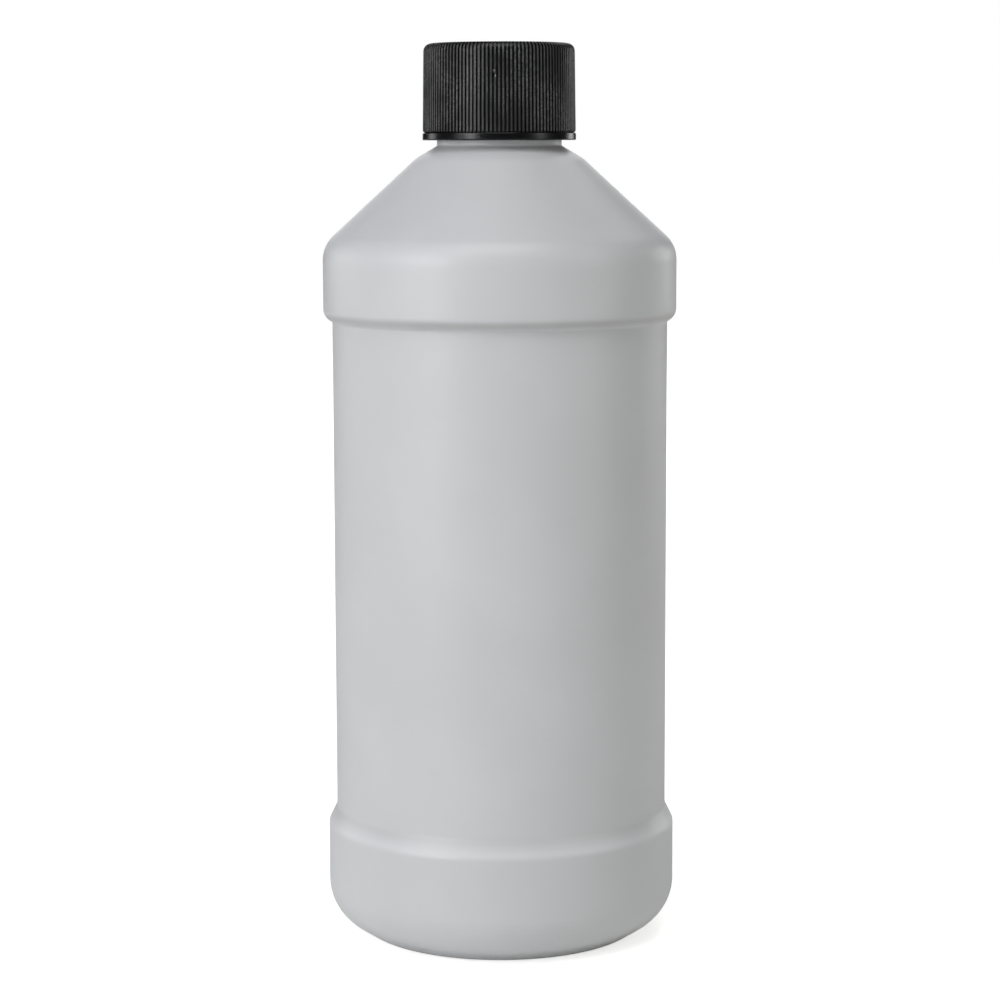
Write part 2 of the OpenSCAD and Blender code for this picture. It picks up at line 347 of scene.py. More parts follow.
def plus(tree, first, second):
    return maths(tree, "ADD", first, second)


def whole(tree, operation, *values):
    node = add_node(tree, "FunctionNodeIntegerMath", dict(enumerate(values)), operation=operation)
    return node.outputs[0]


def vectors(tree, operation, first, second):
    node = add_node(tree, "ShaderNodeVectorMath", {0: first, 1: second}, operation=operation)
    return node.outputs[0]


def object_place(tree):
    return tree.nodes.new("ShaderNodeTexCoord").outputs["Object"]


def eased(tree, value, low, high, start=0.0, end=1.0):
    """Smooth step from start at low to end at high"""
    limits = {"Value": value, "From Min": low, "From Max": high, "To Min": start, "To Max": end}
    return add_node(tree, "ShaderNodeMapRange", limits, interpolation_type="SMOOTHSTEP").outputs["Result"]


def spread(tree, value, low, high, start, end):
    """Straight step from start at low to end at high"""
    limits = {"Value": value, "From Min": low, "From Max": high, "To Min": start, "To Max": end}
    return add_node(tree, "ShaderNodeMapRange", limits).outputs["Result"]


def cloudy(tree, place, size, detail):
    """Noise with spots of a given size"""
    return add_node(tree, "ShaderNodeTexNoise", {
        "Vector": place, "Scale": maths(tree, "DIVIDE", 1.0, size), "Detail": detail}).outputs["Fac"]


def new_group(name, kind, inputs, outputs):
    """A node tree with named sockets, and its input and output nodes"""
    tree = bpy.data.node_groups.new(name, kind)
    for title, socket_kind, default in inputs:
        socket = tree.interface.new_socket(title, in_out="INPUT", socket_type=socket_kind)
        if default is not None:
            socket.default_value = default
    for title, socket_kind in outputs:
        tree.interface.new_socket(title, in_out="OUTPUT", socket_type=socket_kind)
    return tree, tree.nodes.new("NodeGroupInput").outputs, tree.nodes.new("NodeGroupOutput").inputs


def sampled(tree, profile, name, kind, row):
    """Value of the profile's attribute at a row"""
    attribute = add_node(tree, "GeometryNodeInputNamedAttribute", {"Name": name}, data_type=kind)
    return add_node(tree, "GeometryNodeSampleIndex", {
        "Geometry": profile, "Value": attribute.outputs["Attribute"], "Index": row,
    }, data_type=kind).outputs[0]


def rows_and_columns(tree, profile, columns):
    """A sheet of faces with one row for each profile point, and each point's row and column"""
    rows = add_node(tree, "GeometryNodeAttributeDomainSize", {"Geometry": profile}).outputs["Point Count"]
    sheet = add_node(tree, "GeometryNodeMeshGrid", {
        "Vertices X": whole(tree, "ADD", columns, 1), "Vertices Y": rows,
    }).outputs["Mesh"]
    index = tree.nodes.new("GeometryNodeInputIndex").outputs[0]
    return sheet, whole(tree, "MODULO", index, rows), whole(tree, "DIVIDE_FLOOR", index, rows)


def about_axis(tree, vector, turn_by):
    return add_node(tree, "ShaderNodeVectorRotate", {
        "Vector": vector, "Axis": (0, 0, 1), "Angle": turn_by,
    }, rotation_type="AXIS_ANGLE").outputs[0]


def finished(tree, sheet, given, result):
    """Welds, smooths and paints a sheet, and puts it out as real faces"""
    welded = add_node(tree, "GeometryNodeMergeByDistance", {
        "Geometry": sheet, "Distance": given["Weld Distance"]}).outputs[0]
    smooth = add_node(tree, "GeometryNodeSetShadeSmooth", {"Geometry": welded}).outputs[0]
    real = add_node(tree, "GeometryNodeRealizeInstances", {"Geometry": smooth}).outputs[0]
    painted = add_node(tree, "GeometryNodeSetMaterial", {
        "Geometry": real, "Material": given["Material"]}).outputs[0]
    tree.links.new(painted, result["Mesh"])


def turned_skin_tree():
    """Turns a profile round the Z axis, with ribs where the profile says that they stand proud"""
    tree, given, result = new_group("Turned skin", "GeometryNodeTree", (
        ("Profile", "NodeSocketGeometry", None),
        ("Columns", "NodeSocketInt", 96),
        ("Gather", "NodeSocketFloat", 0.0),
        ("Ribs", "NodeSocketInt", 2),
        ("Rib Height", "NodeSocketFloat", 0.001),
        ("Crest Share", "NodeSocketFloat", 0.2),
        ("Flank Share", "NodeSocketFloat", 0.1),
        ("Waviness", "NodeSocketFloat", 0.0),
        ("Wave Length", "NodeSocketFloat", 0.03),
        ("Weld Distance", "NodeSocketFloat", WELD),
        ("Material", "NodeSocketMaterial", None),
    ), (("Mesh", "NodeSocketGeometry"),))
    profile, columns = given["Profile"], given["Columns"]
    sheet, row, column = rows_and_columns(tree, profile, columns)

    # Rows that need fewer faces let several columns share one place
    step = sampled(tree, profile, "column_step", "INT", row)
    nearest = whole(tree, "ADD", column, whole(tree, "DIVIDE_FLOOR", step, 2))
    column = whole(tree, "MULTIPLY", step, whole(tree, "DIVIDE_FLOOR", nearest, step))
    round_trip = times(tree, maths(tree, "DIVIDE", column, columns), math.tau)
    gathered = maths(tree, "SINE", times(tree, round_trip, 2.0))
    pulled = times(tree, gathered, times(tree, given["Gather"], 0.5))
    place = maths(tree, "SUBTRACT", round_trip, pulled)

    # Distance from the nearest rib's middle, in ribs
    ribs_passed = maths(tree, "DIVIDE", times(tree, place, given["Ribs"]), math.tau)
    along = maths(tree, "FRACT", plus(tree, ribs_passed, 0.5))
    from_crest = maths(tree, "ABSOLUTE", maths(tree, "SUBTRACT", along, 0.5))
    foot = plus(tree, given["Crest Share"], given["Flank Share"])
    rib = eased(tree, from_crest, given["Crest Share"], foot, 1.0, 0.0)

    proud = sampled(tree, profile, "proud", "FLOAT_VECTOR", row)
    base = sampled(tree, profile, "spot", "FLOAT_VECTOR", row)
    ribbed = vectors(tree, "ADD", base, add_node(
        tree, "ShaderNodeVectorMath", {0: proud, "Scale": rib}, operation="SCALE").outputs[0])
    wander = cloudy(tree, about_axis(tree, base, place), given["Wave Length"], 1.0)
    inward = times(tree, wander, maths(
        tree, "MULTIPLY", given["Waviness"], sampled(tree, profile, "wavy", "FLOAT", row)))
    shift = add_node(tree, "ShaderNodeCombineXYZ", {"X": inward}).outputs[0]
    placed = about_axis(tree, vectors(tree, "SUBTRACT", ribbed, shift), place)
    skin = add_node(tree, "GeometryNodeSetPosition", {"Geometry": sheet, "Position": placed}).outputs[0]

    standing = add_node(tree, "ShaderNodeVectorMath", {0: proud}, operation="LENGTH").outputs["Value"]
    height = maths(tree, "DIVIDE", standing, given["Rib Height"])
    marked = add_node(tree, "GeometryNodeStoreNamedAttribute", {
        "Geometry": skin, "Name": "rib", "Value": times(tree, rib, height),
    }, data_type="FLOAT", domain="POINT").outputs[0]
    finished(tree, marked, given, result)
    return tree


def screw_thread_tree():
    """Sweeps a section along a helix on a wall, with ends that fade into the wall"""
    tree, given, result = new_group("Screw thread", "GeometryNodeTree", (
        ("Profile", "NodeSocketGeometry", None),
        ("Columns", "NodeSocketInt", 96),
        ("Wall Radius", "NodeSocketFloat", 0.01),
        ("Side", "NodeSocketFloat", 1.0),
        ("Sink", "NodeSocketFloat", 0.0003),
        ("Pitch", "NodeSocketFloat", 0.004),
        ("Start", "NodeSocketFloat", 0.0),
        ("Sweep", "NodeSocketFloat", math.tau),
        ("Fade", "NodeSocketFloat", 0.5),
        ("Low Height", "NodeSocketFloat", 0.0),
        ("Weld Distance", "NodeSocketFloat", WELD),
        ("Material", "NodeSocketMaterial", None),
    ), (("Mesh", "NodeSocketGeometry"),))
    profile, columns = given["Profile"], given["Columns"]
    sheet, row, column = rows_and_columns(tree, profile, columns)
    swept = times(tree, maths(tree, "DIVIDE", column, columns), given["Sweep"])
    to_end = maths(tree, "MINIMUM", swept, maths(tree, "SUBTRACT", given["Sweep"], swept))
    part = maths(tree, "MINIMUM", 1.0, maths(tree, "DIVIDE", to_end, given["Fade"]))
    full = maths(tree, "SINE", times(tree, maths(tree, "MAXIMUM", part, 0.0), math.pi / 2))

    section = add_node(tree, "ShaderNodeSeparateXYZ", {
        0: sampled(tree, profile, "spot", "FLOAT_VECTOR", row)}).outputs
    above_foot = times(tree, plus(tree, section["X"], given["Sink"]), full)
    off_wall = maths(tree, "SUBTRACT", above_foot, given["Sink"])
    radius = plus(tree, given["Wall Radius"], times(tree, given["Side"], off_wall))
    climb = times(tree, given["Pitch"], maths(tree, "DIVIDE", swept, math.tau))
    level = plus(tree, plus(tree, given["Low Height"], climb), times(tree, section["Z"], full))
    point = add_node(tree, "ShaderNodeCombineXYZ", {"X": radius, "Z": level}).outputs[0]
    placed = about_axis(tree, point, plus(tree, given["Start"], swept))
    ridge = add_node(tree, "GeometryNodeSetPosition", {"Geometry": sheet, "Position": placed}).outputs[0]
    finished(tree, ridge, given, result)
    return tree


# Pieces made from profiles

# A profile's point, how far a rib stands proud of it, how many columns share a place, and its waviness
Row = namedtuple("Row", "point proud step wavy", defaults=(Vector((0, 0)), 1, 0.0))


def profile_object(name, rows):
    mesh = bpy.data.meshes.new(name)
    mesh.from_pydata([(row.point.x, 0, row.point.y) for row in rows],
                     [(i, i + 1) for i in range(len(rows) - 1)], [])
    for title, values in (("spot", [row.point for row in rows]), ("proud", [row.proud for row in rows])):
        attribute = mesh.attributes.new(title, "FLOAT_VECTOR", "POINT")
        attribute.data.foreach_set("vector", [n for v in values for n in (v.x, 0, v.y)])
    mesh.attributes.new("column_step", "INT", "POINT").data.foreach_set("value", [r.step for r in rows])
    mesh.attributes.new("wavy", "FLOAT", "POINT").data.foreach_set("value", [r.wavy for r in rows])
    piece = bpy.data.objects.new(name, mesh)
    bpy.context.scene.collection.objects.link(piece)
    return piece


def take_mesh(piece, modifier):
    """Makes the evaluated result the piece's own plain mesh, and removes the modifier"""
    bpy.context.view_layer.update()
    result = bpy.data.meshes.new_from_object(
        piece.evaluated_get(bpy.context.evaluated_depsgraph_get()))
    piece.modifiers.remove(modifier)
    before = piece.data
    piece.data = result
    bpy.data.meshes.remove(before)
    result.name = piece.name
    material = next(used for used in result.materials if used)
    result.materials.clear()
    result.materials.append(material)
    result.polygons.foreach_set("material_index", [0] * len(result.polygons))


def grown(name, rows, tree, values):
    """A piece whose mesh a geometry node tree makes from a profile"""
    piece = profile_object(name, rows)
    modifier = piece.modifiers.new(tree.name, "NODES")
    modifier.node_group = tree
    sockets = {item.name: item.identifier for item in tree.interface.items_tree if item.in_out == "INPUT"}
    for title, value in values.items():
        modifier[sockets[title]] = value
    take_mesh(piece, modifier)
    tidy_mesh(piece.data)
    return piece


def turned_piece(name, rows, values):
    return grown(name, rows, node_tree("Turned skin", turned_skin_tree), values)


def tidy_mesh(mesh):
    """Merges doubles and points every face outwards"""
    work = bmesh.new()
    work.from_mesh(mesh)
    bmesh.ops.remove_doubles(work, verts=work.verts, dist=WELD)
    bmesh.ops.dissolve_degenerate(work, edges=work.edges, dist=WELD)
    bmesh.ops.recalc_face_normals(work, faces=work.faces)
    if work.calc_volume(signed=True) < 0:
        bmesh.ops.reverse_faces(work, faces=work.faces)
    work.to_mesh(mesh)
    work.free()


def joined(piece, tools):
    """One closed solid of a piece and the solids that grow out of it"""
    for tool in tools:
        modifier = piece.modifiers.new("Join", "BOOLEAN")
        modifier.operation = "UNION"
        modifier.solver = "MANIFOLD"
        modifier.object = tool
        take_mesh(piece, modifier)
        bpy.data.objects.remove(tool)
    tidy_mesh(piece.data)
    piece.data.set_sharp_from_angle(angle=CRISP_ANGLE)
    return piece


def thread_rows(depth, crest, threads):
    """Section of a thread from its foot over its crest to its foot, closed inside the wall"""
    crest_half = crest / 2
    foot_half = crest_half + (depth + threads.sink) * math.tan(threads.flank)
    corners = [(-threads.sink, -foot_half, 0), (depth, -crest_half, threads.edge_round),
               (depth, crest_half, threads.edge_round), (-threads.sink, foot_half, 0)]
    points = rounded(corners, math.radians(20))
    return [Row(point) for point in points + [points[0]]]


def screw_thread(name, threads, material, depth, crest, wall_radius, side, turns, start, low):
    return grown(name, thread_rows(depth, crest, threads), node_tree("Screw thread", screw_thread_tree), {
        "Columns": math.ceil(turns * threads.steps),
        "Wall Radius": wall_radius,
        "Side": side,
        "Sink": threads.sink,
        "Pitch": threads.pitch,
        "Start": start,
        "Sweep": turns * math.tau,
        "Fade": threads.fade,
        "Low Height": low,
        "Material": material,
    })


def node_tree(name, make):
    return bpy.data.node_groups.get(name) or make()


def settle(piece, body, node):
    """Tells the frame which body carries a piece, and hides the part that the piece stands for"""
    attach(piece, body)
    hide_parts(node)


# Shader groups that the finishes share

def moulded_group():
    """Fine grain, slow mottle and upright flow lines of moulded plastic"""
    tree, given, result = new_group("Moulded surface", "ShaderNodeTree", (
        ("Grain Size", "NodeSocketFloat", 0.0002),
        ("Mottle Size", "NodeSocketFloat", 0.02),
        ("Flow Width", "NodeSocketFloat", 0.0015),
        ("Flow Stretch", "NodeSocketFloat", 0.04),
    ), (("Grain", "NodeSocketFloat"), ("Mottle", "NodeSocketFloat"), ("Flow", "NodeSocketFloat")))
    place = object_place(tree)
    for title, size, detail in (("Grain", "Grain Size", 2.0), ("Mottle", "Mottle Size", 3.0)):
        tree.links.new(cloudy(tree, place, given[size], detail), result[title])
    split = add_node(tree, "ShaderNodeSeparateXYZ", {0: place}).outputs
    drawn = add_node(tree, "ShaderNodeCombineXYZ", {
        "X": split["X"], "Y": split["Y"], "Z": times(tree, split["Z"], given["Flow Stretch"])})
    tree.links.new(cloudy(tree, drawn.outputs[0], given["Flow Width"], 2.0), result["Flow"])
    return tree


def rubbed_group():
    """Patches of small rub marks"""
    tree, given, result = new_group("Rubbed patches", "ShaderNodeTree", (
        ("Patch Size", "NodeSocketFloat", 0.006),
        ("Mark Size", "NodeSocketFloat", 0.0005),
        ("Cover", "NodeSocketFloat", 0.5),
    ), (("Rubbed", "NodeSocketFloat"),))
    place = object_place(tree)
    edge = maths(tree, "SUBTRACT", 1.0, given["Cover"])
    wide = eased(tree, cloudy(tree, place, given["Patch Size"], 3.0),
                 maths(tree, "SUBTRACT", edge, 0.15), plus(tree, edge, 0.15))
    fine = eased(tree, cloudy(tree, place, given["Mark Size"], 3.0), 0.35, 0.65)
    tree.links.new(times(tree, wide, fine), result["Rubbed"])
    return tree


def new_material(name):
    material = bpy.data.materials.new(name)
    material.use_nodes = True
    return material, material.node_tree, material.node_tree.nodes["Principled BSDF"]


def group_node(tree, name, make, values):
    node = tree.nodes.new("ShaderNodeGroup")
    node.node_tree = node_tree(name, make)
    for title, value in values.items():
        node.inputs[title].default_value = value
    return node.outputs


def mixed(tree, factor, first, second):
    """Mix of two colours, on the mix node's colour sockets"""
    colours = {"Factor": factor, 6: first, 7: second}
    return add_node(tree, "ShaderNodeMix", colours, data_type="RGBA").outputs[2]


def solid(tint):
    return (*tint, 1)


def bumped(tree, shader, height, strength, distance):
    bump = add_node(tree, "ShaderNodeBump", {"Strength": strength, "Distance": distance, "Height": height})
    tree.links.new(bump.outputs[0], shader.inputs["Normal"])


def hump(tree, value, middle, half):
    """One at the middle of a zone, easing to nothing at its ends"""
    rising = eased(tree, value, middle - half, middle)
    return times(tree, rising, eased(tree, value, middle, middle + half, 1.0, 0.0))


# Where the painted highlight and the painted shade lie along the base band's slope, and how far, as shares
# of it
HIGHLIGHT_PLACE, HIGHLIGHT_REACH = 0.2, 0.4
SLOPE_SHADE_PLACE, SLOPE_SHADE_REACH = 0.85, 0.35
# How much of the painted shade shows at the slope's top
SLOPE_SHADE_SHARE = 0.35


def bottle_plastic(bottle):
    material, tree, shader = new_material("Pale polyethylene")
    surface = group_node(tree, "Moulded surface", moulded_group, {
        "Grain Size": bottle.grain_size, "Mottle Size": 0.03, "Flow Width": 0.0018, "Flow Stretch": 0.03})
    rubbed = group_node(tree, "Rubbed patches", rubbed_group, {
        "Patch Size": 0.02, "Mark Size": 0.0008, "Cover": 0.42})
    deeper = eased(tree, surface["Mottle"], 0.35, 0.65)
    plastic = mixed(tree, deeper, solid(bottle.tint), solid(bottle.tint_deep))
    height = add_node(tree, "ShaderNodeSeparateXYZ", {0: object_place(tree)}).outputs["Z"]
    low, slope = bottle.base_band_height, bottle.base_step_height
    # Painted highlight: a lighter band along the rounded upper edge of the base band, where light catches it
    ridge_highlight = hump(tree, height, low + HIGHLIGHT_PLACE * slope, HIGHLIGHT_REACH * slope)
    plastic = mixed(tree, ridge_highlight, plastic, solid(bottle.ridge_highlight_tint))
    # Painted shade: darker in the concave corner at the top of the base slope and under the shoulder band's
    # step, where shade falls
    at_slope = hump(tree, height, low + SLOPE_SHADE_PLACE * slope, SLOPE_SHADE_REACH * slope)
    under_band = hump(tree, height, shoulder_low_height(bottle), bottle.shoulder_step_height)
    gathered = plus(tree, times(tree, at_slope, SLOPE_SHADE_SHARE), under_band)
    tree.links.new(mixed(tree, gathered, plastic, solid(bottle.corner_shade_tint)), shader.inputs["Base Color"])
    worn = times(tree, rubbed["Rubbed"], 0.05)
    grainy = spread(tree, surface["Grain"], 0.3, 0.7, bottle.roughness - 0.03, bottle.roughness + 0.03)
    tree.links.new(plus(tree, grainy, worn), shader.inputs["Roughness"])
    fine = times(tree, surface["Grain"], 0.10)
    drawn = times(tree, surface["Flow"], 0.12)
    relief = plus(tree, fine, plus(tree, drawn, surface["Mottle"]))
    bumped(tree, shader, relief, 0.6, 0.1 * MM)
    shader.inputs["IOR"].default_value = 1.5
    shader.inputs["Subsurface Weight"].default_value = 0.1
    shader.inputs["Subsurface Radius"].default_value = (1.0, 0.95, 0.9)
    shader.inputs["Subsurface Scale"].default_value = 1 * MM
    return material


def cap_plastic(cap):
    material, tree, shader = new_material("Black polypropylene")
    surface = group_node(tree, "Moulded surface", moulded_group, {
        "Grain Size": cap.grain_size, "Mottle Size": 0.005, "Flow Width": 0.0004, "Flow Stretch": 0.1})
    rubbed = group_node(tree, "Rubbed patches", rubbed_group, {
        "Patch Size": 0.007, "Mark Size": 0.0004, "Cover": 0.5})
    crest = add_node(tree, "ShaderNodeAttribute", attribute_name="rib").outputs["Fac"]
    # Rib crests are lighter all round: partly real rub marks, partly painted sheen where light catches the
    # rib tops
    on_crest = eased(tree, crest, 0.4, 1.0)
    worn = times(tree, on_crest, spread(tree, rubbed["Rubbed"], 0, 1, 0.22, 1.0))
    ribbed = mixed(tree, worn, solid(cap.tint), solid(cap.crest_rub_and_sheen_tint))
    scarred = mixed(tree, eased(tree, crest, 1.3, 2.4), ribbed, solid(cap.tint_scar))
    tree.links.new(scarred, shader.inputs["Base Color"])
    dull = times(tree, worn, 0.12)
    height = add_node(tree, "ShaderNodeSeparateXYZ", {0: object_place(tree)}).outputs["Z"]
    rim_top = CAP_LOW.z + cap.rim_height
    blend = 0.1 * MM
    above_rim = eased(tree, height, rim_top - blend, rim_top + blend, cap.rim_roughness, cap.roughness)
    grainy = plus(tree, above_rim, spread(tree, surface["Grain"], 0.3, 0.7, -0.04, 0.04))
    tree.links.new(plus(tree, grainy, dull), shader.inputs["Roughness"])
    relief = plus(tree, times(tree, surface["Grain"], 0.3), times(tree, rubbed["Rubbed"], 0.3))
    bumped(tree, shader, relief, 0.5, 0.05 * MM)
    shader.inputs["IOR"].default_value = 1.49
    shader.inputs["Specular IOR Level"].default_value = 0.35
    return material


def liner_foam(liner):
    material, tree, shader = new_material("White foam")
    place = object_place(tree)
    cells = add_node(tree, "ShaderNodeTexVoronoi", {
        "Vector": place, "Scale": 1 / liner.cell_size}).outputs["Distance"]
    surface = group_node(tree, "Moulded surface", moulded_group, {
        "Grain Size": 0.0001, "Mottle Size": 0.004, "Flow Width": 0.001, "Flow Stretch": 1.0})
    shade = plus(tree, eased(tree, cells, 0.0, 0.6, 0.0, 0.7), maths(
        tree, "MULTIPLY", surface["Mottle"], 0.3))
    foam = mixed(tree, shade, solid(liner.tint_cell), solid(liner.tint))
    tree.links.new(foam, shader.inputs["Base Color"])
    tree.links.new(spread(tree, surface["Grain"], 0.3, 0.7, liner.roughness - 0.05, liner.roughness + 0.05),
                   shader.inputs["Roughness"])
    relief = plus(tree, cells, times(tree, surface["Grain"], 0.2))
    bumped(tree, shader, relief, 0.5, 0.08 * MM)
    return material


# The bottle

ARC_STEP = math.radians(6)
LEAST_ROUND = 0.3 * MM


def shoulder_low_height(bottle):
    """Height of the shoulder band's lower edge"""
    neck_foot = BOTTLE_HIGH.z - bottle.finish_height
    return neck_foot - bottle.neck_rise - bottle.cone_height - bottle.shoulder_band_height


def shell_corners(bottle):
    """Outside of the blown wall from the axis to the foot of the neck"""
    body = (BOTTLE_HIGH.x - BOTTLE_LOW.x) / 2 - bottle.parting_height
    base = body - bottle.base_inset
    panel = body - bottle.panel_recess
    heel = base - bottle.heel_inset
    ring = heel - bottle.ring_width
    hollow = ring - bottle.push_up_run
    neck = bottle.neck_diameter / 2
    neck_foot = BOTTLE_HIGH.z - bottle.finish_height
    cone_top = neck_foot - bottle.neck_rise
    shoulder_high = cone_top - bottle.cone_height
    shoulder_low = shoulder_low_height(bottle)
    panel_high = shoulder_low - bottle.shoulder_step_height
    panel_low = bottle.base_band_height + bottle.base_step_height
    return [
        (0, bottle.push_up_height, 0),
        (hollow, bottle.push_up_height, bottle.push_up_round),
        (ring, 0, bottle.ring_round),
        (heel, 0, bottle.heel_round),
        (base, bottle.heel_height, bottle.base_round),
        (base, bottle.base_band_height, bottle.base_band_round),
        (panel, panel_low, bottle.panel_low_round),
        (panel, panel_high, bottle.panel_high_round),
        (body, shoulder_low, bottle.shoulder_low_round),
        (body, shoulder_high, bottle.shoulder_round),
        (neck + bottle.neck_flare, cone_top, bottle.cone_round),
        (neck, neck_foot, bottle.neck_round),
    ]


def bottle_rows(bottle):
    """Rows from the middle of the base up the outside, over the lip and down the inside"""
    shell = shell_corners(bottle)
    neck = bottle.neck_diameter / 2
    bore = neck - bottle.neck_wall
    mouth = BOTTLE_HIGH.z
    slope = heading(shell, len(shell) - 2)
    under_neck = spot(shell[-1]) + leftward(slope) * bottle.wall
    throat = under_neck.y + (bore - under_neck.x) * slope.y / slope.x
    outside = shell + [(neck, mouth, bottle.lip_round), (bore, mouth, bottle.lip_round),
                       (bore, throat, bottle.neck_round + bottle.wall)]
    corners = outside + inset(shell, bottle.wall, LEAST_ROUND)[::-1]
    points = filled(rounded(corners, ARC_STEP), 1.8 * MM, 0.2 * MM)
    lip = min(i for i, point in enumerate(points) if point.y > mouth - WELD)
    neck_foot = mouth - bottle.finish_height
    rows = []
    for i, point in enumerate(points):
        is_outside = i <= lip
        seam = ramp(point.y, 1 * MM, 6 * MM) * ramp(mouth - point.y, 0.6 * MM, 1.6 * MM) * is_outside
        seam *= point.x > neck - WELD
        wavy = ramp(point.y, 6 * MM, 20 * MM) * ramp(neck_foot - point.y, 0, 10 * MM)
        proud = outward(points, i) * bottle.parting_height * seam
        rows.append(Row(point, proud, 1 if is_outside else 2, wavy))
    return rows


def pinch_off(bottle, material):
    """The seam across the base where the mould pinched the tube shut"""
    stations, around = 60, 12
    work = bmesh.new()
    loops = []
    base, top = bottle.push_up_height, bottle.push_up_height + bottle.wall / 2
    for i in range(stations + 1):
        along = 2 * i / stations - 1
        x = along * bottle.pinch_length / 2
        # One in the middle, and nothing at the seam's two ends
        full = math.sqrt(max(0.0, 1 - abs(along) ** 6))
        tall = full * (1 - 0.25 * (noise.noise(Vector((i * 0.37, 1.7, 0.4))) + 0.5))
        wander = 1 + 0.12 * noise.noise(Vector((i * 0.5, 9, 3)))
        wide = bottle.pinch_width / 2 * (0.35 + 0.65 * full) * wander
        section = [(wide, top)]
        for k in range(around + 1):
            bow = math.pi * k / around
            section.append((wide * math.cos(bow), base - bottle.pinch_height * tall * math.sin(bow)))
        section.append((-wide, top))
        loops.append([work.verts.new((x, y, z)) for y, z in section])
    for first, second in zip(loops, loops[1:]):
        for k in range(len(first)):
            after = (k + 1) % len(first)
            work.faces.new((first[k], first[after], second[after], second[k]))
    work.faces.new(loops[0])
    work.faces.new(loops[-1])
    mesh = bpy.data.meshes.new("pinch_off")
    work.to_mesh(mesh)
    work.free()
    tidy_mesh(mesh)
    for face in mesh.polygons:
        face.use_smooth = True
    mesh.materials.append(material)
    seam = bpy.data.objects.new("pinch_off", mesh)
    bpy.context.scene.collection.objects.link(seam)
    return seam


class MakeBottle(bpy.types.Operator):
    """Make the blown bottle with its threaded neck"""
    bl_idname = "plastic_bottle.make_bottle"
    bl_label = "Make the bottle"

    def execute(self, context):
        bottle = context.scene.plastic_bottle
        threads = context.scene.bottle_threads
        material = bottle_plastic(bottle)
        half_round = math.pi * (BOTTLE_HIGH.x - BOTTLE_LOW.x) / 2
        piece = turned_piece("blown_bottle", bottle_rows(bottle), {
            "Columns": bottle.columns,
            "Gather": bottle.gather,
            "Ribs": 2,
            "Rib Height": bottle.parting_height,
            "Crest Share": 0.15 * bottle.parting_width / half_round,
            "Flank Share": 0.35 * bottle.parting_width / half_round,
            "Waviness": bottle.waviness,
            "Wave Length": bottle.wave_length,
            "Material": material,
        })
        neck_thread = screw_thread(
            "neck_thread", threads, material, threads.depth, threads.crest, bottle.neck_diameter / 2, 1.0,
            threads.turns, threads.start, neck_thread_low(threads))
        joined(piece, [neck_thread, pinch_off(bottle, material)])
        settle(piece, "bottle", "bottle")
        return {"FINISHED"}


def neck_thread_low(threads):
    return BOTTLE_HIGH.z - threads.drop - threads.turns * threads.pitch


# The cap

CAP_ARC_STEP = math.radians(10)
# Columns that share a place in the cap's rows without ribs
PLAIN_STEP = 5


def cap_bore(bottle, threads):
    """Radius of the cap's inside, clear of the neck's thread"""
    return bottle.neck_diameter / 2 + threads.depth + threads.crest_gap


def cap_rows(cap, bottle, threads):
    """Rows from the middle of the cap's inside, down its bore, round the rim and up to the top"""
    bore = cap_bore(bottle, threads)
    rim = (CAP_HIGH.x - CAP_LOW.x) / 2
    skirt, top = CAP_LOW.z, CAP_HIGH.z
    rim_top = skirt + cap.rim_height
    rib_low = rim - cap.rim_proud
    rib_high = rib_low - (top - rim_top) * math.tan(cap.draft)
    plain = rounded([
        (0, LINER_HIGH.z, 0),
        (bore, LINER_HIGH.z, cap.small_round),
        (bore, skirt + cap.mouth_bevel, 0),
        (bore + cap.mouth_bevel, skirt, 0),
        (rim, skirt, cap.small_round),
        (rim, rim_top, cap.small_round),
        (rib_low - cap.rib_depth, rim_top + cap.rim_proud, 0),
    ], CAP_ARC_STEP)
    plain = filled(plain, 1.5 * MM, 0.12 * MM)
    ledge = plain[-1].y
    valley = [(rib_low - cap.rib_depth, ledge, 0), (rib_high - cap.rib_depth, top, cap.round), (0, top, 0)]
    side = rounded(valley, CAP_ARC_STEP)
    levels = [ledge + cap.rib_foot * t for t in (0.04, 0.12, 0.25, 0.45, 0.7, 1.0)]
    nick_low, nick_high = cap.nick_height - 2 * cap.nick_size, cap.nick_height + cap.pip_rise + cap.nick_size
    levels += spaced(levels[-1], nick_low, 2 * MM)
    levels += spaced(nick_low, nick_high, 0.11 * MM)
    levels += spaced(nick_high, side[1].y, 1.5 * MM)[:-1]
    wall = [side[0].lerp(side[1], (level - side[0].y) / (side[1].y - side[0].y)) for level in levels]
    ribbed = wall + side[1:-1]
    disc = filled(side[-2:], 1.2 * MM, 0.15 * MM)[1:]
    points = plain + ribbed + disc
    shift = Vector((cap.rib_depth, -cap.rib_run_out))
    rows = []
    for i, point in enumerate(points):
        if i < len(plain) or i >= len(plain) + len(ribbed):
            rows.append(Row(point, step=PLAIN_STEP))
            continue
        normal = outward(points, i)
        foot = min(1, (point.y - ledge) / cap.rib_foot)
        height = max(0, normal.dot(shift)) * math.sqrt(1 - (1 - foot) ** 2)
        rows.append(Row(point, normal * height))
    return rows


def spaced(low, high, spacing):
    """Even levels above low, up to and with high"""
    steps = max(1, math.ceil((high - low) / spacing))
    return [low + (high - low) * k / steps for k in range(1, steps + 1)]


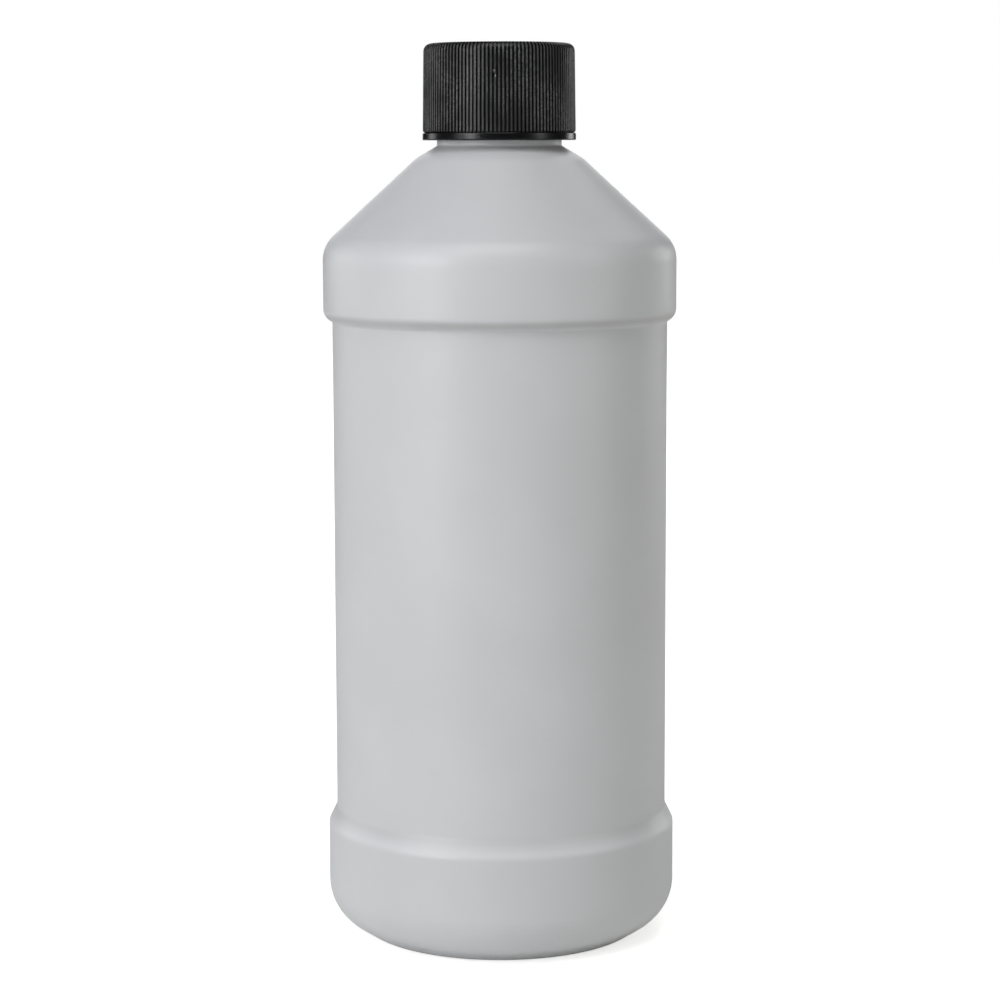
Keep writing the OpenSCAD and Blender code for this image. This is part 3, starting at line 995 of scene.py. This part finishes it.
def nick_ribs(mesh, cap):
    """Presses the ribs in at a small nick, with a raised pip above it, and marks both for the finish"""
    side = (CAP_HIGH.x - CAP_LOW.x) / 2 - 1 * MM
    for vertex in mesh.vertices:
        if vertex.co.y > 0 or math.hypot(vertex.co.x, vertex.co.y) < side:
            continue
        across = (vertex.co.x - cap.nick_x) / cap.nick_size
        up = (vertex.co.z - cap.nick_height) / cap.nick_size
        pip_up = (vertex.co.z - cap.nick_height - cap.pip_rise) / cap.nick_size
        narrow = (across / cap.nick_width) ** 2
        pit = math.exp(-(narrow + up ** 2) ** 2)
        pip = math.exp(-(narrow + pip_up ** 2 * 3))
        lip = math.exp(-(((across - 0.75) / cap.nick_width) ** 2 * 3 + (up + 0.1) ** 2 * 4))
        rise = cap.pip_height * pip - cap.nick_depth * pit
        move = Vector((vertex.co.x, vertex.co.y, 0)).normalized() * rise
        if move.length > WELD:
            vertex.co += move
        crest = mesh.attributes["rib"].data[vertex.index]
        crest.value = max(0, crest.value - pit) + 2 * (pip + lip)


class MakeCap(bpy.types.Operator):
    """Make the ribbed screw cap with its inner thread"""
    bl_idname = "plastic_bottle.make_cap"
    bl_label = "Make the cap"

    def execute(self, context):
        cap, bottle = context.scene.bottle_cap, context.scene.plastic_bottle
        threads = context.scene.bottle_threads
        material = cap_plastic(cap)
        piece = turned_piece("ribbed_cap", cap_rows(cap, bottle, threads), {
            "Columns": cap.ribs * cap.rib_columns,
            "Ribs": cap.ribs,
            "Rib Height": cap.rib_depth,
            "Crest Share": cap.rib_crest,
            "Flank Share": cap.rib_flank,
            "Material": material,
        })
        nick_ribs(piece.data, cap)
        bore = cap_bore(bottle, threads)
        depth = threads.depth + threads.crest_gap - threads.root_gap
        # The cap's thread lies under the neck's, by half of both widths and the clearance
        under = ((threads.crest + threads.cap_crest) / 2
                 + (threads.depth - threads.root_gap) * math.tan(threads.flank) + threads.flank_gap)
        low = CAP_LOW.z + threads.cap_rise
        start = threads.start + math.tau * (low + under - neck_thread_low(threads)) / threads.pitch
        cap_thread = screw_thread(
            "cap_thread", threads, material, depth, threads.cap_crest, bore, -1.0,
            threads.cap_turns, start, low)
        joined(piece, [cap_thread])
        settle(piece, "cap", "cap")
        return {"FINISHED"}


# The liner

class MakeLiner(bpy.types.Operator):
    """Make the foam liner inside the cap"""
    bl_idname = "plastic_bottle.make_liner"
    bl_label = "Make the liner"

    def execute(self, context):
        liner = context.scene.bottle_liner
        radius = (LINER_HIGH.x - LINER_LOW.x) / 2
        corners = [(0, LINER_LOW.z, 0), (radius, LINER_LOW.z, liner.edge_round),
                   (radius, LINER_HIGH.z, liner.edge_round), (0, LINER_HIGH.z, 0)]
        points = filled(rounded(corners, math.radians(15)), 1.5 * MM, 0.1 * MM)
        piece = turned_piece("foam_liner", [Row(point) for point in points], {
            "Columns": liner.columns,
            "Material": liner_foam(liner),
        })
        settle(piece, "cap_carrier", "liner")
        return {"FINISHED"}


# The stage

# Each lamp: name, azimuth from the camera's side, elevation, distance, width, height, power and colour
Lamp = namedtuple("Lamp", "name azimuth elevation distance width height power tint")
LAMPS = (
    Lamp("panel_left", -50, 18, 1.5, 0.9, 0.8, 8.7, (1.0, 1.0, 1.0)),
    Lamp("key_left", -43, 46, 1.3, 0.4, 0.4, 1.7, (1.0, 1.0, 1.0)),
    Lamp("strip_left", -43, 8, 1.3, 0.2, 0.4, 2.0, (1.0, 1.0, 1.0)),
    Lamp("over_front", 0, 65, 1.3, 0.8, 0.8, 6.6, (0.98, 0.99, 1.0)),
    Lamp("panel_right", 65, 18, 1.5, 0.9, 0.8, 2.2, (1.0, 1.0, 0.9)),
    Lamp("key_right", 75, 36, 1.3, 0.3, 0.3, 0.7, (1.0, 1.0, 0.95)),
    Lamp("strip_right", 64, 8, 1.3, 0.08, 0.4, 0.8, (1.0, 1.0, 0.95)),
    Lamp("rim_right", 135, 8, 1.3, 0.4, 0.4, 1.6, (1.0, 1.0, 1.0)),
    Lamp("back_right", 150, 45, 1.3, 0.5, 0.5, 1.5, (1.0, 1.0, 1.0)),
    Lamp("rim_left", -120, 8, 1.3, 0.4, 0.4, 1.3, (1.0, 1.0, 1.0)),
    Lamp("panel_back", 180, 18, 1.5, 0.9, 0.8, 4.0, (1.0, 1.0, 1.0)),
)
# The point that every lamp faces
AIM = Vector((0, 0, 0.09))
# Width of the camera's sensor in millimetres, and the plain white of the background
SENSOR_WIDTH = 36
WHITE = (1, 1, 1, 1)


def studio_world(stage):
    world = bpy.data.worlds.new("Studio")
    world.use_nodes = True
    tree = world.node_tree
    tree.nodes.clear()
    seen = tree.nodes.new("ShaderNodeLightPath").outputs["Is Camera Ray"]
    light = add_node(tree, "ShaderNodeBackground", {"Color": WHITE, "Strength": stage.room_light})
    white = add_node(tree, "ShaderNodeBackground", {"Color": WHITE, "Strength": 1.0})
    chosen = add_node(tree, "ShaderNodeMixShader", {0: seen, 1: light.outputs[0], 2: white.outputs[0]})
    output = tree.nodes.new("ShaderNodeOutputWorld")
    tree.links.new(chosen.outputs[0], output.inputs["Surface"])
    bpy.context.scene.world = world


def floor_material(stage):
    """White to the camera, darkened only by the object's shadow, and nothing at all from below"""
    material = bpy.data.materials.new("White floor")
    material.use_nodes = True
    tree = material.node_tree
    tree.nodes.clear()
    matte = add_node(tree, "ShaderNodeBsdfDiffuse", {"Color": solid(stage.floor_tint)})
    seen = tree.nodes.new("ShaderNodeLightPath").outputs["Is Camera Ray"]
    place = object_place(tree)
    away = add_node(tree, "ShaderNodeVectorMath", {0: place}, operation="LENGTH").outputs["Value"]
    shown_glow = eased(tree, away, stage.glow_near, stage.glow_far, stage.floor_glow, 1.0)
    level = spread(tree, seen, 0.0, 1.0, stage.floor_light, shown_glow)
    glow = add_node(tree, "ShaderNodeEmission", {"Color": WHITE, "Strength": level})
    shown = add_node(tree, "ShaderNodeAddShader", {0: matte.outputs[0], 1: glow.outputs[0]})
    clear = tree.nodes.new("ShaderNodeBsdfTransparent")
    under = tree.nodes.new("ShaderNodeNewGeometry").outputs["Backfacing"]
    sided = add_node(tree, "ShaderNodeMixShader", {0: under, 1: shown.outputs[0], 2: clear.outputs[0]})
    output = tree.nodes.new("ShaderNodeOutputMaterial")
    tree.links.new(sided.outputs[0], output.inputs["Surface"])
    return material


class MakeStage(bpy.types.Operator):
    """Make the floor, the studio light and the camera"""
    bl_idname = "plastic_bottle.make_stage"
    bl_label = "Make the stage"

    def execute(self, context):
        scene, stage = context.scene, context.scene.bottle_stage
        half = stage.floor_size / 2
        mesh = bpy.data.meshes.new("floor")
        corners = [(-half, -half, 0), (half, -half, 0), (half, half, 0), (-half, half, 0)]
        mesh.from_pydata(corners, [], [(0, 1, 2, 3)])
        mesh.materials.append(floor_material(stage))
        floor = bpy.data.objects.new("floor", mesh)
        scene.collection.objects.link(floor)

        studio_world(stage)
        for lamp in LAMPS:
            make_lamp(scene, lamp)

        camera = bpy.data.objects.new("camera", bpy.data.cameras.new("camera"))
        camera.location = (0, -stage.camera_distance, stage.camera_height)
        lean = Matrix.Rotation(-stage.camera_roll, 3, "Z")
        look = Matrix.Rotation(math.pi / 2 - stage.camera_pitch, 3, "X")
        camera.rotation_euler = (look @ lean).to_euler()
        camera.data.sensor_width = SENSOR_WIDTH
        camera.data.lens = stage.lens
        camera.data.shift_x = stage.shift_x
        camera.data.shift_y = stage.shift_y
        camera.data.clip_start = 0.01
        scene.collection.objects.link(camera)
        scene.camera = camera
        scene.view_settings.view_transform = "Standard"
        return {"FINISHED"}


def make_lamp(scene, lamp):
    data = bpy.data.lights.new(lamp.name, "AREA")
    data.shape = "RECTANGLE"
    data.size = lamp.width
    data.size_y = lamp.height
    data.energy = lamp.power
    data.color = lamp.tint
    light = bpy.data.objects.new(lamp.name, data)
    across, up = math.radians(lamp.azimuth), math.radians(lamp.elevation)
    light.location = AIM + lamp.distance * Vector((
        math.sin(across) * math.cos(up), -math.cos(across) * math.cos(up), math.sin(up)))
    light.rotation_euler = (AIM - light.location).to_track_quat("-Z", "Y").to_euler()
    scene.collection.objects.link(light)


class BottlePanel(bpy.types.Panel):
    """Lists the settings and the steps that make the bottle"""
    bl_idname = "VIEW3D_PT_plastic_bottle"
    bl_label = "Round plastic bottle"
    bl_space_type = "VIEW_3D"
    bl_region_type = "UI"
    bl_category = "Bottle"

    def draw(self, context):
        for settings, operator in (("plastic_bottle", MakeBottle), ("bottle_cap", MakeCap),
                                   ("bottle_liner", MakeLiner), ("bottle_stage", MakeStage)):
            box = self.layout.box()
            box.operator(operator.bl_idname)
            group = getattr(context.scene, settings)
            for name in group.__annotations__:
                box.prop(group, name)


GROUPS = (
    ("plastic_bottle", BottleSettings),
    ("bottle_threads", ThreadSettings),
    ("bottle_cap", CapSettings),
    ("bottle_liner", LinerSettings),
    ("bottle_stage", StageSettings),
)
OPERATORS = (MakeBottle, MakeCap, MakeLiner, MakeStage)


def register():
    for name, group in GROUPS:
        bpy.utils.register_class(group)
        setattr(bpy.types.Scene, name, bpy.props.PointerProperty(type=group))
    for kind in (*OPERATORS, BottlePanel):
        bpy.utils.register_class(kind)


def unregister():
    for kind in (BottlePanel, *reversed(OPERATORS)):
        bpy.utils.unregister_class(kind)
    for name, group in reversed(GROUPS):
        delattr(bpy.types.Scene, name)
        bpy.utils.unregister_class(group)


def main():
    register()
    bpy.ops.plastic_bottle.make_bottle()
    bpy.ops.plastic_bottle.make_cap()
    bpy.ops.plastic_bottle.make_liner()
    bpy.ops.plastic_bottle.make_stage()


if __name__ == "__main__":
    main()
